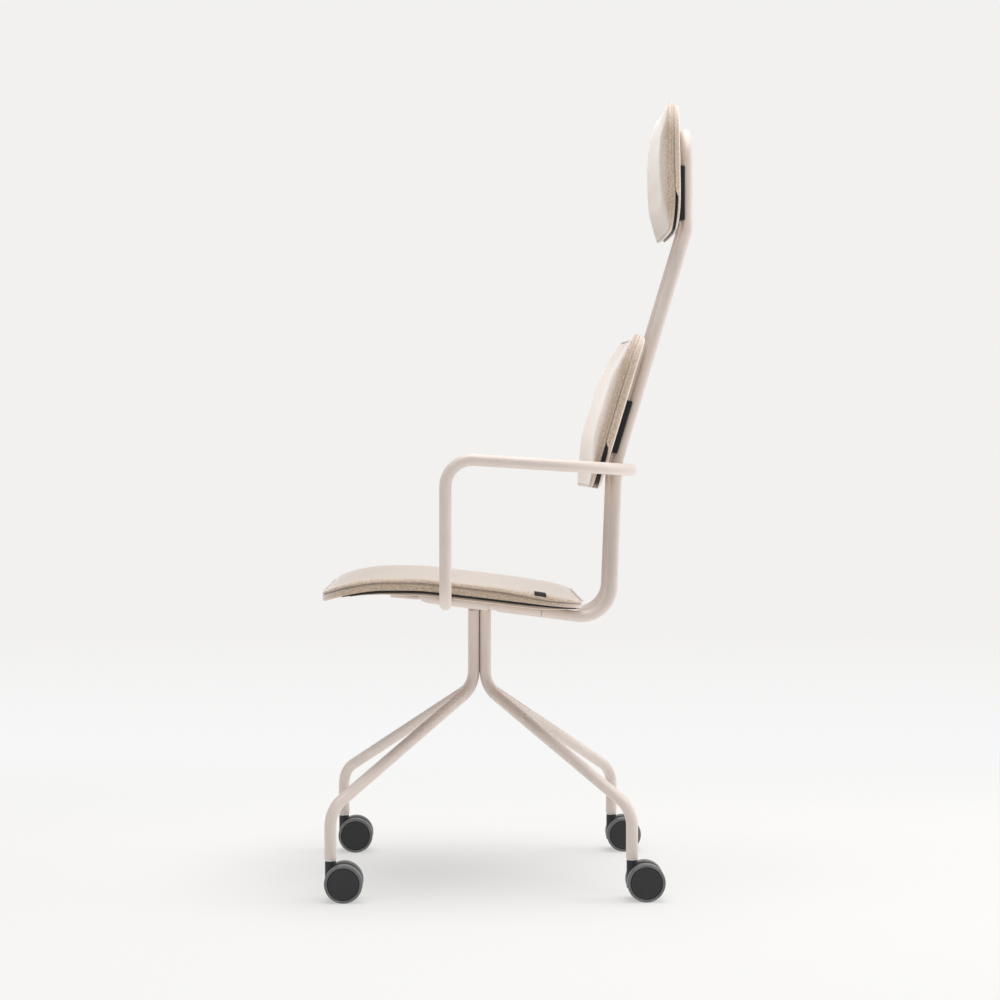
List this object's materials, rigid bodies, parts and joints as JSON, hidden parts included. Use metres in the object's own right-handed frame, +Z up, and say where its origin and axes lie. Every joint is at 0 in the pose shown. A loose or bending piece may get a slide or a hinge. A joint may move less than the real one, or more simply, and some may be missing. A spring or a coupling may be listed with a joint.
{
  "type": "conference chair",
  "caption": "High-back conference chair with separate seat, back and head pads on bent tube, looped tube arms and a swivelling tube base on twin-wheel casters.",
  "frame": {"origin": "middle of the footprint of the whole chair, on the floor", "axes": "+Z up; the chair faces -Y and the sitter's left is +X; the swivel column stands 46 mm forward of the origin"},
  "size_m": [0.558, 0.575, 1.2121],
  "materials": {
    "powder_coat": "satin sand powder coat",
    "fabric": "beige melange woven upholstery",
    "black_plastic": "matt black moulded plastic",
    "wheel_plastic": "dark grey moulded plastic",
    "tread": "grey soft tread",
    "steel": "plain turned steel"
  },
  "bodies": {
    "base": {"leg_rear_left": "powder_coat", "leg_rear_right": "powder_coat", "leg_front_right": "powder_coat", "leg_front_left": "powder_coat", "column_core": "black_plastic", "spindle": "powder_coat", "spindle_retainer": "steel"},
    "seat": {"bearing_hub": "powder_coat", "carrier_plate": "powder_coat", "carrier_rail_left": "powder_coat", "carrier_rail_right": "powder_coat", "rail_coupler_left": "powder_coat", "rail_coupler_right": "powder_coat", "back_frame": "powder_coat", "arm_loop": "powder_coat", "seat_cushion": "fabric", "seat_shell": "black_plastic", "seat_under_cover": "fabric", "back_cushion": "fabric", "back_shell": "black_plastic", "back_rear_cover": "fabric", "head_cushion": "fabric", "head_shell": "black_plastic", "head_rear_cover": "fabric", "back_mount_left": "black_plastic", "back_mount_right": "black_plastic", "head_mount_left": "black_plastic", "head_mount_right": "black_plastic"},
    "caster_rear_left": {"caster_stem_rear_left": "steel", "caster_body_rear_left": "wheel_plastic", "axle_rear_left": "steel"},
    "wheel_rear_left_left": {"wheel_hub_rear_left_left": "wheel_plastic", "wheel_tread_rear_left_left": "tread"},
    "wheel_rear_left_right": {"wheel_hub_rear_left_right": "wheel_plastic", "wheel_tread_rear_left_right": "tread"},
    "caster_rear_right": {"caster_stem_rear_right": "steel", "caster_body_rear_right": "wheel_plastic", "axle_rear_right": "steel"},
    "wheel_rear_right_left": {"wheel_hub_rear_right_left": "wheel_plastic", "wheel_tread_rear_right_left": "tread"},
    "wheel_rear_right_right": {"wheel_hub_rear_right_right": "wheel_plastic", "wheel_tread_rear_right_right": "tread"},
    "caster_front_right": {"caster_stem_front_right": "steel", "caster_body_front_right": "wheel_plastic", "axle_front_right": "steel"},
    "wheel_front_right_left": {"wheel_hub_front_right_left": "wheel_plastic", "wheel_tread_front_right_left": "tread"},
    "wheel_front_right_right": {"wheel_hub_front_right_right": "wheel_plastic", "wheel_tread_front_right_right": "tread"},
    "caster_front_left": {"caster_stem_front_left": "steel", "caster_body_front_left": "wheel_plastic", "axle_front_left": "steel"},
    "wheel_front_left_left": {"wheel_hub_front_left_left": "wheel_plastic", "wheel_tread_front_left_left": "tread"},
    "wheel_front_left_right": {"wheel_hub_front_left_right": "wheel_plastic", "wheel_tread_front_left_right": "tread"}
  },
  "joints": [
    {"name": "seat_swivel", "type": "hinge", "parent": "base", "child": "seat", "pos_m": [0, -0.0461, 0.4315], "axis": [0, 0, 1], "continuous": true},
    {"name": "caster_swivel_rear_left", "type": "hinge", "parent": "base", "child": "caster_rear_left", "pos_m": [0.2255, 0.1794, 0.0615], "axis": [0, 0, 1], "continuous": true},
    {"name": "wheel_spin_rear_left_left", "type": "hinge", "parent": "caster_rear_left", "child": "wheel_rear_left_left", "pos_m": [0.2255, 0.1994, 0.02864], "axis": [1, 0, 0], "continuous": true},
    {"name": "wheel_spin_rear_left_right", "type": "hinge", "parent": "caster_rear_left", "child": "wheel_rear_left_right", "pos_m": [0.2255, 0.1994, 0.02864], "axis": [1, 0, 0], "continuous": true},
    {"name": "caster_swivel_rear_right", "type": "hinge", "parent": "base", "child": "caster_rear_right", "pos_m": [-0.2255, 0.1794, 0.0615], "axis": [0, 0, 1], "continuous": true},
    {"name": "wheel_spin_rear_right_left", "type": "hinge", "parent": "caster_rear_right", "child": "wheel_rear_right_left", "pos_m": [-0.2255, 0.1994, 0.02864], "axis": [1, 0, 0], "continuous": true},
    {"name": "wheel_spin_rear_right_right", "type": "hinge", "parent": "caster_rear_right", "child": "wheel_rear_right_right", "pos_m": [-0.2255, 0.1994, 0.02864], "axis": [1, 0, 0], "continuous": true},
    {"name": "caster_swivel_front_right", "type": "hinge", "parent": "base", "child": "caster_front_right", "pos_m": [-0.2255, -0.2716, 0.0615], "axis": [0, 0, 1], "continuous": true},
    {"name": "wheel_spin_front_right_left", "type": "hinge", "parent": "caster_front_right", "child": "wheel_front_right_left", "pos_m": [-0.2255, -0.2516, 0.02864], "axis": [1, 0, 0], "continuous": true},
    {"name": "wheel_spin_front_right_right", "type": "hinge", "parent": "caster_front_right", "child": "wheel_front_right_right", "pos_m": [-0.2255, -0.2516, 0.02864], "axis": [1, 0, 0], "continuous": true},
    {"name": "caster_swivel_front_left", "type": "hinge", "parent": "base", "child": "caster_front_left", "pos_m": [0.2255, -0.2716, 0.0615], "axis": [0, 0, 1], "continuous": true},
    {"name": "wheel_spin_front_left_left", "type": "hinge", "parent": "caster_front_left", "child": "wheel_front_left_left", "pos_m": [0.2255, -0.2516, 0.02864], "axis": [1, 0, 0], "continuous": true},
    {"name": "wheel_spin_front_left_right", "type": "hinge", "parent": "caster_front_left", "child": "wheel_front_left_right", "pos_m": [0.2255, -0.2516, 0.02864], "axis": [1, 0, 0], "continuous": true}
  ]
}
